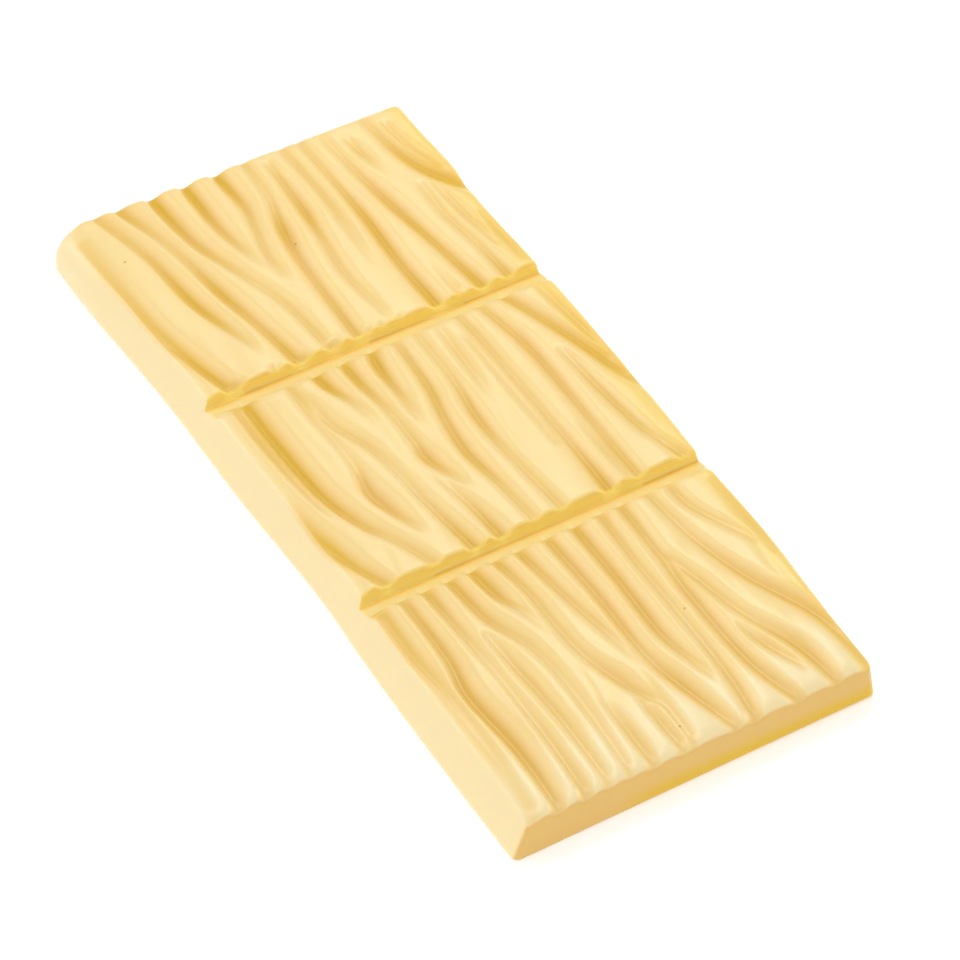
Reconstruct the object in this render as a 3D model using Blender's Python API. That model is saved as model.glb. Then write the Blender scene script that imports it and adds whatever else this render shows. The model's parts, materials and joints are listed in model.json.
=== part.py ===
"""White chocolate bar: one moulded tablet in three blocks, with a wood-grain relief.

Lengths are in millimetres until the mesh is written. Places along the bar are
measured from its far end, and places across it from the foot of its wide left wall.
The finished bar stands on Z = 0 with the origin under its middle.
"""

import bpy
import bmesh
import numpy as np
from mathutils import Matrix

MM = 0.001

# Overall size, and how far each wall leans in between the foot and the crests.
LENGTH = 120.6
WIDTH = 53.0
HEIGHT = 6.4
FAR_LEAN = 0.8
NEAR_LEAN = 0.8
LEFT_LEAN = 3.1
RIGHT_LEAN = 0.7

# The moulding isn't quite straight. How far each foot wanders from a straight line: the
# left and right ones as (along, across), and the far one as (across, along).
LEFT_WANDER = ((0, -0.9), (10, -0.9), (32, 0.0), (50, 0.0), (74, 0.6), (84, 0.2), (105, 0.0), (121, 0.1))
RIGHT_WANDER = (
    (0, 0.0), (8, 0.1), (15, 0.4), (23, 0.0), (35, 0.4), (68, 0.6), (82, 0.3), (94, 0.5), (109, -0.2))
FAR_WANDER = ((0, -0.8), (14, -0.6), (53, 0.3))

# Corner radii at the foot and at the crests. The far left corner is the round one, and
# the wall around it stands steeper before it curves in.
FAR_LEFT_RADII = (1.8, 3.0)
SMALL_RADII = (0.9, 0.7)
WALL_POWER = 1.15
CORNER_WALL_POWER = 3.0
CORNER_REACH = 9.0

# Upper edges: how deep and how wide the rounding is. The near end rolls over in a
# quarter ellipse, and the crests tip down towards it.
LEFT_EDGE_DROP = 0.8
LEFT_EDGE_REACH = 1.8
EDGE_DROP = 0.5
EDGE_REACH = 1.0
NEAR_ROLL_DROP = 0.8
NEAR_ROLL_REACH = 1.8
NEAR_TIP_DROP = 0.5
NEAR_TIP_REACH = 12.0

# The two break lines. On the far side of each is a steep wall, on the near side a
# gentle ramp up to the round noses of the ridges.
BREAK_LINES = (38.4, 78.6)
BREAK_DEPTH = 2.1
BREAK_WALL_RUN = 0.45
RAMP_RUN = 2.5
RAMP_TOP_DEPTH = 0.9
NOSE_RUN = 1.5

# A furrow's half width grows with its depth. A share of the depth goes to soft
# shoulders, which are wider than the valley between them.
DEPTH_SCALE = 1.15
FURROW_HALF_WIDTH = 1.1
WIDTH_PER_DEPTH = 0.75
SHOULDER_SHARE = 0.16
SHOULDER_WIDTH = 2.35
END_FADE = 2.0
CREST_SOFTNESS = 4

# Furrows of the relief, one a line, each running away from the far end. A station is
# (along, across, depth before scaling).
FURROWS = (
    # far block
    ((4, 2.6, 0.4), (14, 2.9, 0.6), (24, 3.6, 0.8), (31, 4.9, 1.0), (38, 6.7, 1.0)),
    ((0, 6.3, 0.6), (10, 8.7, 0.7), (20, 9.9, 1.0), (27, 11.4, 0.8), (34, 13.0, 0.1)),
    ((0, 9.8, 0.9), (10, 12.1, 0.6), (21, 14.0, 1.0), (30, 15.6, 0.9), (38, 16.8, 1.0)),
    ((0, 14.7, 1.1), (11, 15.6, 1.0), (20, 17.9, 0.5), (28, 20.3, 0.6), (38, 21.2, 0.5)),
    ((0, 19.6, 1.1), (9, 19.7, 1.0), (15, 20.2, 0.6), (20, 21.0, 0.1)),
    ((0, 24.3, 1.1), (8, 24.6, 0.9), (13, 23.6, 0.6), (19, 22.6, 0.6), (24, 22.9, 0.1)),
    ((0, 28.3, 0.5), (8, 28.2, 0.5), (15, 27.0, 1.1), (23, 26.0, 0.9), (38, 25.6, 0.8)),
    ((3, 31.2, 0.4), (11, 31.3, 1.0), (19, 30.6, 0.7), (27, 29.9, 0.6), (37, 30.8, 0.2)),
    ((0, 34.1, 0.4), (10, 34.7, 0.6), (20, 34.4, 0.4), (27, 34.0, 0.1)),
    ((0, 36.9, 0.4), (9, 37.3, 0.6), (18, 37.7, 1.0), (28, 37.4, 1.1), (38, 37.7, 1.1)),
    ((1, 40.2, 0.2), (8, 40.6, 0.5), (17, 41.9, 1.1), (27, 43.2, 0.9), (38, 44.7, 1.1)),
    ((30, 40.8, 0.1), (38, 41.1, 0.4)),
    ((3, 42.7, 0.1), (7, 43.3, 0.6), (12, 44.1, 0.1)),
    ((2, 46.7, 0.4), (9, 47.7, 0.9), (14, 49.2, 1.1), (18, 51.4, 1.1), (22, 53.7, 0.6)),
    ((4, 48.8, 0.4), (10, 49.6, 0.6), (15, 51.2, 0.6)),
    ((17, 47.1, 0.3), (24, 47.1, 0.5), (31, 48.0, 0.5), (38, 48.6, 1.0)),
    ((18, 48.8, 0.3), (25, 49.4, 0.5), (32, 50.3, 0.3)),
    ((26, 51.6, 0.3), (31, 51.8, 0.6), (36, 52.0, 0.3)),
    # middle block
    ((38, 7.3, 1.1), (48, 7.3, 1.2), (60, 7.9, 1.1), (67, 9.5, 0.9), (72, 11.7, 0.6), (78, 14.1, 0.6)),
    ((40, 5.4, 0.7), (50, 5.6, 0.8), (60, 6.1, 0.5), (66, 7.2, 0.1)),
    ((58, 3.4, 0.2), (65, 3.9, 0.8), (70, 4.7, 1.0), (74, 5.7, 0.9), (78, 7.2, 0.8)),
    ((38, 13.2, 0.6), (48, 13.2, 0.5), (57, 13.6, 0.3), (63, 13.4, 1.1), (67, 14.2, 1.0), (73, 15.4, 0.1)),
    ((44, 14.0, 0.3), (50, 14.7, 0.6), (56, 16.8, 0.6), (62, 17.8, 0.4), (68, 18.4, 0.6), (78, 20.0, 1.0)),
    ((38, 17.4, 1.0), (43, 17.8, 1.1), (48, 18.9, 0.5), (53, 20.0, 0.1)),
    ((38, 21.9, 1.0), (44, 21.7, 1.0), (52, 22.2, 0.5), (58, 22.4, 0.6), (62, 22.7, 1.0), (69, 24.5, 0.1)),
    ((38, 26.8, 0.8), (43, 25.5, 1.1), (49, 25.1, 0.7), (57, 24.8, 0.1)),
    ((66, 21.8, 0.2), (72, 23.1, 0.7), (78, 23.9, 1.0)),
    ((38, 29.4, 0.5), (50, 29.0, 0.8), (56, 28.0, 0.8), (63, 27.5, 1.0), (71, 28.2, 0.6), (78, 28.7, 0.5)),
    ((38, 32.2, 0.4), (50, 32.3, 0.5), (59, 31.7, 0.9), (67, 31.8, 0.5), (78, 32.8, 0.6)),
    ((42, 35.3, 0.2), (49, 35.3, 0.5), (57, 34.9, 0.1)),
    ((38, 38.5, 0.5), (46, 39.2, 0.6), (55, 39.4, 0.6), (66, 39.6, 0.7), (78, 39.8, 1.1)),
    ((46, 37.8, 0.3), (57, 38.0, 0.4), (68, 38.2, 0.3)),
    ((38, 41.6, 0.5), (46, 43.2, 0.8), (52, 44.1, 1.0), (66, 44.1, 0.8), (78, 44.2, 0.8)),
    ((65, 42.6, 0.1), (72, 42.8, 0.5), (78, 43.0, 0.3)),
    ((40, 45.6, 0.9), (46, 47.8, 0.9), (54, 50.3, 1.0), (60, 51.8, 0.9), (65, 53.2, 0.4)),
    ((42, 50.8, 0.3), (50, 51.7, 0.6), (57, 52.4, 0.6)),
    ((54, 47.2, 0.3), (62, 47.9, 0.7), (70, 48.8, 0.7), (74, 49.7, 0.5), (78, 51.0, 0.8)),
    # near block
    ((80, 4.5, 0.8), (90, 4.3, 0.8), (98, 4.6, 0.5), (108, 4.4, 0.3), (121, 4.2, 0.3)),
    ((80, 7.7, 0.8), (92, 7.8, 0.9), (99, 7.1, 1.1), (109, 7.9, 1.1), (121, 7.5, 0.6)),
    ((80, 11.0, 1.0), (88, 11.1, 0.7), (98, 11.3, 0.3), (110, 11.5, 0.5), (121, 11.4, 0.6)),
    ((80, 14.4, 1.0), (89, 15.2, 0.9), (96, 17.4, 0.6), (104, 18.0, 0.4), (121, 17.5, 0.3)),
    ((92, 13.4, 0.3), (99, 14.2, 0.7), (107, 14.6, 0.6), (121, 14.5, 0.3)),
    ((80, 17.6, 1.0), (86, 18.4, 1.1), (91, 19.5, 0.4), (95, 20.3, 0.1)),
    ((80, 20.9, 1.0), (88, 21.8, 0.7), (99, 22.1, 0.6), (107, 24.4, 0.9), (114, 26.9, 0.1)),
    ((80, 24.3, 1.0), (88, 25.1, 0.8), (97, 26.3, 0.6), (105, 27.5, 0.1)),
    ((107, 26.5, 0.2), (113, 26.7, 0.4), (121, 26.7, 0.3)),
    ((109, 24.4, 0.1), (114, 24.8, 0.6), (121, 25.2, 0.4)),
    ((108, 20.3, 0.1), (114, 20.7, 0.6), (121, 20.9, 0.5)),
    ((80, 28.5, 0.9), (92, 29.1, 1.0), (104, 29.0, 0.8), (111, 30.4, 1.0), (121, 32.9, 0.5)),
    ((80, 32.6, 1.0), (92, 32.7, 1.0), (102, 32.6, 1.0), (108, 33.4, 0.6), (113, 34.2, 0.1)),
    ((80, 36.5, 0.8), (90, 36.0, 0.6), (101, 36.0, 0.5), (112, 36.0, 0.7), (121, 35.2, 0.7)),
    ((80, 39.5, 0.9), (91, 39.2, 0.7), (99, 39.0, 0.9), (112, 39.5, 0.9), (121, 42.0, 0.7)),
    ((89, 39.0, 0.4), (97, 41.2, 0.7), (105, 43.0, 0.6), (113, 46.2, 1.0), (121, 47.2, 0.6)),
    ((105, 41.1, 0.1), (110, 42.5, 0.7), (116, 44.7, 0.3)),
    ((80, 43.3, 0.6), (90, 44.2, 0.6), (99, 46.6, 0.9), (108, 50.4, 1.0), (114, 51.5, 0.8), (121, 51.7, 0.5)),
    ((80, 46.7, 0.6), (86, 47.0, 0.6), (95, 50.8, 0.3)),
    ((84, 52.0, 0.3), (92, 52.2, 0.5), (98, 52.4, 0.3)),
)

# Fineness: columns along each block, each part of a break line and the rolled near
# end, rows across the bar, and rings down the walls.
BLOCK_COLUMNS = 14
BREAK_WALL_COLUMNS = 1
RAMP_COLUMNS = 1
NOSE_COLUMNS = 2
NEAR_ROLL_COLUMNS = 2
ROWS = 70
WALL_RINGS = 3


def clear_scene():
    for item in list(bpy.data.objects):
        bpy.data.objects.remove(item, do_unlink=True)


def column_places():
    """Places of the columns along the bar: even on the blocks, exact at the breaks."""
    places = []
    start = FAR_LEAN
    for valley in BREAK_LINES:
        wall_top = valley - BREAK_WALL_RUN
        ramp_top = valley + RAMP_RUN
        nose_top = ramp_top + NOSE_RUN
        places += list(np.linspace(start, wall_top, BLOCK_COLUMNS, endpoint=False))
        places += list(np.linspace(wall_top, valley, BREAK_WALL_COLUMNS, endpoint=False))
        places += list(np.linspace(valley, ramp_top, RAMP_COLUMNS, endpoint=False))
        places += list(np.linspace(ramp_top, nose_top, NOSE_COLUMNS, endpoint=False))
        start = nose_top
    near_end = LENGTH - NEAR_LEAN
    roll_start = near_end - NEAR_ROLL_REACH
    places += list(np.linspace(start, roll_start, BLOCK_COLUMNS, endpoint=False))
    places += list(np.linspace(roll_start, near_end, NEAR_ROLL_COLUMNS + 1))
    return np.array(places)


def smooth_through(at, places, values):
    """A smooth line through the given values, level at its two ends."""
    slopes = np.gradient(values, places)
    slopes[[0, -1]] *= 0.5
    part = np.clip(np.searchsorted(places, at) - 1, 0, len(places) - 2)
    gap = places[part + 1] - places[part]
    t = np.clip((at - places[part]) / gap, 0, 1)
    rise = values[part + 1] - values[part]
    bend_in = slopes[part] * gap - rise
    bend_out = rise - slopes[part + 1] * gap
    return values[part] + t * rise + t * (1 - t) * ((1 - t) * bend_in + t * bend_out)


def furrow_sink(along, across, stations):
    """Depth of one furrow: a narrow valley between round shoulders."""
    places, offsets, depths = np.array(stations, dtype=float).T
    centre = smooth_through(along, places, offsets)
    beyond = np.maximum(places[0] - along, along - places[-1])
    depth = DEPTH_SCALE * smooth_through(along, places, depths) * np.clip(1 - beyond / END_FADE, 0, 1)
    slant = np.gradient(offsets, places)
    slope = np.interp(along, places, slant)
    distance = np.abs(across - centre) / np.sqrt(1 + slope ** 2)
    half_widths = distance / (FURROW_HALF_WIDTH + WIDTH_PER_DEPTH * depth)
    valley = np.clip(1 - half_widths ** 2, 0, 1) ** 2
    shoulder = np.clip(1 - (half_widths / SHOULDER_WIDTH) ** 2, 0, 1) ** 2
    return depth * ((1 - SHOULDER_SHARE) * valley + SHOULDER_SHARE * shoulder)


def edge_sink(distance, drop, reach):
    """How far a rounded upper edge has dropped at a distance in from the wall."""
    return drop * np.clip(1 - distance / reach, 0, 1) ** 2


def break_sink(along):
    """Depth of the break lines: a steep wall down, then the ramp."""
    sink = np.zeros_like(along)
    for valley in BREAK_LINES:
        wall = BREAK_DEPTH * (1 - (valley - along) / BREAK_WALL_RUN)
        ramp = BREAK_DEPTH + (RAMP_TOP_DEPTH - BREAK_DEPTH) * (along - valley) / RAMP_RUN
        on_ramp = (along >= valley) & (along <= valley + RAMP_RUN)
        sink = np.maximum(sink, np.where(on_ramp, ramp, np.where(along < valley, wall, 0)))
    return sink


def nose_sink(along):
    """How far the ridges' noses have dropped where they meet the ramps."""
    sink = np.zeros_like(along)
    for valley in BREAK_LINES:
        beyond_ramp = along - valley - RAMP_RUN
        nose = edge_sink(np.maximum(beyond_ramp, 0), RAMP_TOP_DEPTH, NOSE_RUN)
        sink = np.maximum(sink, np.where(along > valley, nose, 0))
    return sink


def near_end_sink(along):
    """How far the crests tip down and roll over at the near end."""
    from_near = LENGTH - NEAR_LEAN - along
    rolled = np.clip(1 - from_near / NEAR_ROLL_REACH, 0, 1)
    tipped = np.clip(1 - from_near / NEAR_TIP_REACH, 0, 1)
    return NEAR_ROLL_DROP * (1 - np.sqrt(1 - rolled ** 2)) + NEAR_TIP_DROP * tipped ** 2


def wander(at, stations):
    """How far a foot has wandered from its straight line."""
    return smooth_through(at, *np.array(stations, dtype=float).T)


def relief_sink(along, across):
    """How far the top lies below the highest crest."""
    powers = [furrow_sink(along, across, stations) ** CREST_SOFTNESS for stations in FURROWS]
    grain = sum(powers) ** (1 / CREST_SOFTNESS)
    from_left = across - LEFT_LEAN - wander(along, LEFT_WANDER)
    from_right = WIDTH + wander(along, RIGHT_WANDER) - RIGHT_LEAN - across
    from_far = along - FAR_LEAN - wander(across, FAR_WANDER)
    edges = (
        edge_sink(from_left, LEFT_EDGE_DROP, LEFT_EDGE_REACH)
        + edge_sink(from_right, EDGE_DROP, EDGE_REACH)
        + edge_sink(from_far, EDGE_DROP, EDGE_REACH)
        + nose_sink(along)
    )
    return np.maximum(np.hypot(grain, edges), break_sink(along)) + near_end_sink(along)


def round_corner(from_edge_a, from_edge_b, radius):
    """How far points near a square corner move in from each edge to lie on its arc."""
    a = np.clip(1 - from_edge_a / radius, 0, 1)
    b = np.clip(1 - from_edge_b / radius, 0, 1)
    return radius * a * (1 - np.sqrt(1 - b ** 2 / 2)), radius * b * (1 - np.sqrt(1 - a ** 2 / 2))


def outline_place(share_along, share_across, level):
    """Plan place of a point at shares of the length and width, at the foot or the crests."""
    far_left_radius = FAR_LEFT_RADII[level]
    small_radius = SMALL_RADII[level]
    far, near = FAR_LEAN * level, LENGTH - NEAR_LEAN * level
    left, right = LEFT_LEAN * level, WIDTH - RIGHT_LEAN * level
    along = far + share_along * (near - far)
    across = left + share_across * (right - left)
    far_left = round_corner(along - far, across - left, far_left_radius)
    far_right = round_corner(along - far, right - across, small_radius)
    near_left = round_corner(near - along, across - left, small_radius)
    near_right = round_corner(near - along, right - across, small_radius)
    shift_along = far_left[0] + far_right[0] - near_left[0] - near_right[0]
    shift_across = far_left[1] - far_right[1] + near_left[1] - near_right[1]
    along = along + shift_along + wander(across, FAR_WANDER) * (1 - share_along)
    left_wander, right_wander = wander(along, LEFT_WANDER), wander(along, RIGHT_WANDER)
    across = across + shift_across + left_wander * (1 - share_across) + right_wander * share_across
    return along, across


def unit_block(columns, rows):
    """A closed block, one unit each way, whose top is a grid."""
    mesh = bmesh.new()
    bmesh.ops.create_grid(
        mesh, x_segments=columns, y_segments=rows, size=0.5,
        matrix=Matrix.Translation((0.5, 0.5, 1.0)))
    for ring in range(WALL_RINGS):
        rim = [edge for edge in mesh.edges if edge.is_boundary]
        skirt = bmesh.ops.extrude_edge_only(mesh, edges=rim)["geom"]
        for item in skirt:
            if isinstance(item, bmesh.types.BMVert):
                item.co.z = 1 - (ring + 1) / WALL_RINGS
    foot = [edge for edge in mesh.edges if edge.is_boundary]
    bmesh.ops.holes_fill(mesh, edges=foot, sides=len(foot))
    bmesh.ops.recalc_face_normals(mesh, faces=mesh.faces)
    return mesh


def mould_block(mesh):
    """Give the unit block the bar's outline, leaning walls and relief."""
    points = np.array([vert.co for vert in mesh.verts])
    places = column_places()
    columns = np.arange(len(places))
    along = np.interp(points[:, 0] * columns[-1], columns, places)
    share_along = (along - places[0]) / (places[-1] - places[0])
    share_across = points[:, 1]
    crest_along, crest_across = outline_place(share_along, share_across, 1)
    foot_along, foot_across = outline_place(share_along, share_across, 0)

    top = HEIGHT - relief_sink(crest_along, crest_across)
    height = points[:, 2] * top
    from_corner = np.hypot(foot_along, foot_across) / CORNER_REACH
    power = WALL_POWER + (CORNER_WALL_POWER - WALL_POWER) * np.exp(-from_corner ** 2)
    share_up = (height / HEIGHT) ** power
    along = foot_along + share_up * (crest_along - foot_along)
    across = foot_across + share_up * (crest_across - foot_across)

    middle_along = (along.min() + along.max()) / 2
    middle_across = (across.min() + across.max()) / 2
    moulded = np.column_stack((along - middle_along, across - middle_across, height)) * MM
    for vert, place in zip(mesh.verts, moulded):
        vert.co = place


def white_chocolate():
    """Cocoa butter and milk: a pale warm yellow with a soft low gloss."""
    material = bpy.data.materials.new("white_chocolate")
    material.use_nodes = True
    shader = material.node_tree.nodes["Principled BSDF"]
    shader.inputs["Base Color"].default_value = (0.90, 0.72, 0.38, 1.0)
    shader.inputs["Roughness"].default_value = 0.45
    shader.inputs["Metallic"].default_value = 0.0
    return material


def make_bar(collection):
    """The bar, one solid piece."""
    block = unit_block(len(column_places()) - 1, ROWS)
    mould_block(block)
    bmesh.ops.triangulate(block, faces=block.faces)
    mesh = bpy.data.meshes.new("bar")
    block.to_mesh(mesh)
    block.free()
    mesh.shade_smooth()
    mesh.materials.append(white_chocolate())
    bar = bpy.data.objects.new("bar", mesh)
    collection.objects.link(bar)
    return bar


clear_scene()
bar_collection = bpy.data.collections.new("chocolate_bar")
bpy.context.scene.collection.children.link(bar_collection)
make_bar(bar_collection)
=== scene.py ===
# %% [markdown]
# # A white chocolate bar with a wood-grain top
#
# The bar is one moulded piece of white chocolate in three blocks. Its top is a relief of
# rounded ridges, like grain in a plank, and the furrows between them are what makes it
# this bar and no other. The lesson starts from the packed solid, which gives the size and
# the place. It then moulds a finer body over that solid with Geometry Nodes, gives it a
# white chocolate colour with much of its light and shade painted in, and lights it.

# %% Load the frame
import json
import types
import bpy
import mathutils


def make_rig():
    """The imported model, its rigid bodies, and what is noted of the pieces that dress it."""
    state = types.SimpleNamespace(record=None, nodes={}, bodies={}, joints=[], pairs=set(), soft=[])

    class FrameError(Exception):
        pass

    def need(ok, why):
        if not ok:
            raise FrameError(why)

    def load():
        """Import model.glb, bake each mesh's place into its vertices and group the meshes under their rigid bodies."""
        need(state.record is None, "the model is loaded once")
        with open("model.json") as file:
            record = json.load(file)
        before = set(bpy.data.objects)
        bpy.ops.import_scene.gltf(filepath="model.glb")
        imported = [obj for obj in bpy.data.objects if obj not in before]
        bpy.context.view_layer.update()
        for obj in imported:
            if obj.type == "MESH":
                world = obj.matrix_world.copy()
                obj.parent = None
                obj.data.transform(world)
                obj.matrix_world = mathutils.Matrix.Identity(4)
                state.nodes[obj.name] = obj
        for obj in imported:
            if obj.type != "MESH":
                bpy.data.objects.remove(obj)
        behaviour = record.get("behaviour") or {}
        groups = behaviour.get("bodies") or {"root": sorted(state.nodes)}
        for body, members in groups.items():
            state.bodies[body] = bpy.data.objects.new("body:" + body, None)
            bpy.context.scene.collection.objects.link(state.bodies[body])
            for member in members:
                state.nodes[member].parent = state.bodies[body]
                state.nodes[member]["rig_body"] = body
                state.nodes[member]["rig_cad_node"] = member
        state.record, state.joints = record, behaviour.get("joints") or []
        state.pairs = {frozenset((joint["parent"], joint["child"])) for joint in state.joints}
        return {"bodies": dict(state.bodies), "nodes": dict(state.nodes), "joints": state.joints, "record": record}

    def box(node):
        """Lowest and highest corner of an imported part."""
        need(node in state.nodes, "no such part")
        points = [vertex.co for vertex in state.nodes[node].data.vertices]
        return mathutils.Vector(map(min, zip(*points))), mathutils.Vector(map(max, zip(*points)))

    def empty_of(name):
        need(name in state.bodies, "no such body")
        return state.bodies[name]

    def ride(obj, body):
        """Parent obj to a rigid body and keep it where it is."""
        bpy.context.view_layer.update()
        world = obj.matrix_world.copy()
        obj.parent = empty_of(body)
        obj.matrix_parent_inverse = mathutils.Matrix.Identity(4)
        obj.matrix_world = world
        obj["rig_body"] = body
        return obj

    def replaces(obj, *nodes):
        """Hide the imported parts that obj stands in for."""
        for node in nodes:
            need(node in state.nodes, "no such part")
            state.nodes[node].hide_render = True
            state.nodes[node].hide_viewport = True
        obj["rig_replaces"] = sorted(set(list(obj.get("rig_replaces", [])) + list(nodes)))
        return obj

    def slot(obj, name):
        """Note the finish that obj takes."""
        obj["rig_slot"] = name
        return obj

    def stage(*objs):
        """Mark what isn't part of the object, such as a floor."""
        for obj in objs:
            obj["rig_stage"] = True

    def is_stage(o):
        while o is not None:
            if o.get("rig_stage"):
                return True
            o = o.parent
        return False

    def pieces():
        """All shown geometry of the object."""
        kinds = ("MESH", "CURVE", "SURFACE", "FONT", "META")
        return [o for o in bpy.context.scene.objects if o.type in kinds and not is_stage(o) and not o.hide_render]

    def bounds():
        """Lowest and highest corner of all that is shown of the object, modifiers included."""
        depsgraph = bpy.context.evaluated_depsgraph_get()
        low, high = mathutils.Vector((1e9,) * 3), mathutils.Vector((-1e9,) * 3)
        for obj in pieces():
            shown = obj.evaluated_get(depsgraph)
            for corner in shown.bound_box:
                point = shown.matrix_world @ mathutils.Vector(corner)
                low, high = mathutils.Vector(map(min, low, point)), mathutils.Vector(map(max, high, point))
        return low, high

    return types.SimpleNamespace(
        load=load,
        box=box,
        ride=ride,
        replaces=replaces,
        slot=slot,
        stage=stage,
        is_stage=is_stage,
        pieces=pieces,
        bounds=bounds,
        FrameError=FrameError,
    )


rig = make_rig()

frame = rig.load()
cad_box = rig.bounds()

import json
import math

import bmesh
import bpy
import numpy as np
from mathutils import Matrix, Vector

MM = 0.001
low, high = (np.array(corner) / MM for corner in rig.box("bar"))
print("bar in the frame, mm:", (high - low).round(2))

# %% [markdown]
# ## One helper for every node
#
# Shaders and Geometry Nodes are both trees of nodes. One small function adds a node, sets
# its options, and fills its sockets with plain values or with links. It returns the first
# output, so calls can be nested the way a formula is.
#
# Sockets go by name where names are clear. A Mix node has an A and a B for every kind of
# data, so there they go by number: 2 and 3 are its plain numbers, 4 and 5 its vectors, and
# 6 and 7 its colours.

# %% The node helper
def add(tree, kind, inputs=(), **options):
    """Add a node. Inputs go by name in a dictionary, or in order in a list."""
    node = tree.nodes.new(kind)
    for name, value in options.items():
        setattr(node, name, value)
    pairs = inputs.items() if isinstance(inputs, dict) else enumerate(inputs)
    for key, value in pairs:
        if isinstance(value, bpy.types.NodeSocket):
            tree.links.new(value, node.inputs[key])
        else:
            node.inputs[key].default_value = value
    return node.outputs[0]


print("node helper ready:", add.__doc__)

# %% [markdown]
# ## The plain block
#
# Without its relief the bar is a low block with leaning walls. The long left side slopes
# widely, as chocolate moulds do so that the bar drops out, and the others are steeper. It
# could start as a cube with bevels, but the relief needs a fine, even grid on top. So the
# block starts as a grid one unit each way, with rings pulled down from its rim and one
# face closing the underside. Columns are closer together where a break line crosses.
#
# Places are in millimetres in the maker's own table: along the bar from its far end, and
# across it from the foot of its wide left wall.

# %% Sizes of the plain block, in mm
LENGTH = 120.6
WIDTH = 53.0
HEIGHT = high[2] - low[2]
FAR_LEAN = 0.8
NEAR_LEAN = 0.8
LEFT_LEAN = 3.1
RIGHT_LEAN = 0.7
BREAK_LINES = (38.4, 78.6)
FINE_BEFORE_BREAK = 1.6
FINE_AFTER_BREAK = 4.6
FINE_NEAR_END = 3.6

BLOCK_COLUMNS = 80
BREAK_COLUMNS = 24
END_COLUMNS = 18
ROWS = 228
RING_HEIGHTS = (
    0.95, 0.89, 0.82, 0.74, 0.66, 0.57, 0.48, 0.39, 0.3, 0.21, 0.13, 0.07, 0.03, 0.0)
UNDERSIDE_MARK = -0.1
print("height in the frame, mm:", HEIGHT.round(2))

# %% Where the columns stand
def column_places():
    """Places of the grid's columns along the bar."""
    places = []
    start = FAR_LEAN
    for valley in BREAK_LINES:
        fine_start, fine_end = valley - FINE_BEFORE_BREAK, valley + FINE_AFTER_BREAK
        places += list(np.linspace(start, fine_start, BLOCK_COLUMNS, endpoint=False))
        places += list(np.linspace(fine_start, fine_end, BREAK_COLUMNS, endpoint=False))
        start = fine_end
    near_end = LENGTH - NEAR_LEAN
    places += list(np.linspace(start, near_end - FINE_NEAR_END, BLOCK_COLUMNS, endpoint=False))
    places += list(np.linspace(near_end - FINE_NEAR_END, near_end, END_COLUMNS + 1))
    return np.array(places)


places = column_places()
print("columns:", len(places), "rows:", ROWS + 1, "rings:", len(RING_HEIGHTS) + 1)

# %% Grid, rings and underside
def unit_block(columns, rows):
    """A closed block, one unit each way, whose top is a grid."""
    block = bmesh.new()
    bmesh.ops.create_grid(
        block, x_segments=columns, y_segments=rows, size=0.5,
        matrix=Matrix.Translation((0.5, 0.5, 1.0)))
    for height in RING_HEIGHTS + (UNDERSIDE_MARK,):
        rim = [edge for edge in block.edges if edge.is_boundary]
        skirt = bmesh.ops.extrude_edge_only(block, edges=rim)["geom"]
        for item in skirt:
            if isinstance(item, bmesh.types.BMVert):
                item.co.z = height
    foot = [edge for edge in block.edges if edge.is_boundary]
    bmesh.ops.holes_fill(block, edges=foot, sides=len(foot))
    bmesh.ops.recalc_face_normals(block, faces=block.faces)
    return block


block = unit_block(len(places) - 1, ROWS)
bar_mesh = bpy.data.meshes.new("white_chocolate_bar")
block.to_mesh(bar_mesh)
block.free()
bar_mesh.shade_smooth()
print("block:", len(bar_mesh.vertices), "points,", len(bar_mesh.polygons), "faces")

# %% [markdown]
# ## The outline
#
# A real moulding is never quite straight: this one bows a little along its left foot, and
# its right edge swells where ridges run out over it. A few stations a side are enough,
# with a smooth line drawn through them. The far left corner is the round one, and the wall
# around it stands up before it curves in.
#
# Every point gets two places, one on the foot's outline and one on the crests' outline.
# They are kept as attributes of the mesh, so that the node tree can slide the point
# between them as the wall rises.

# %% Outline stations, in mm
LEFT_WANDER = (
    (0, -0.9), (10, -0.9), (32, 0.0), (50, 0.0),
    (74, 0.6), (84, 0.2), (105, 0.0), (121, 0.1))
RIGHT_WANDER = (
    (0, 0.0), (8, 0.1), (15, 0.4), (23, 0.0), (35, 0.4),
    (68, 0.6), (82, 0.3), (94, 0.5), (109, -0.2))
FAR_WANDER = ((0, -0.8), (14, -0.6), (53, 0.3))
FAR_LEFT_RADII = (1.8, 3.0)
SMALL_RADII = (0.9, 0.7)
FOOT, CREST = 0, 1
print("outline stations:", len(LEFT_WANDER) + len(RIGHT_WANDER) + len(FAR_WANDER))

# %% A smooth line through stations
END_SLOPE_SHARE = 0.5


def wander(at, stations):
    """A smooth line through the stations, calmer at its two ends."""
    stops, shifts = np.array(stations, dtype=float).T
    slopes = np.gradient(shifts, stops)
    slopes[[0, -1]] *= END_SLOPE_SHARE
    part = np.clip(np.searchsorted(stops, at) - 1, 0, len(stops) - 2)
    gap = stops[part + 1] - stops[part]
    t = np.clip((at - stops[part]) / gap, 0, 1)
    rise = shifts[part + 1] - shifts[part]
    bend_in = slopes[part] * gap - rise
    bend_out = rise - slopes[part + 1] * gap
    return shifts[part] + t * rise + t * (1 - t) * ((1 - t) * bend_in + t * bend_out)


print("left foot halfway along, mm:", wander(LENGTH / 2, LEFT_WANDER).round(2))

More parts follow.
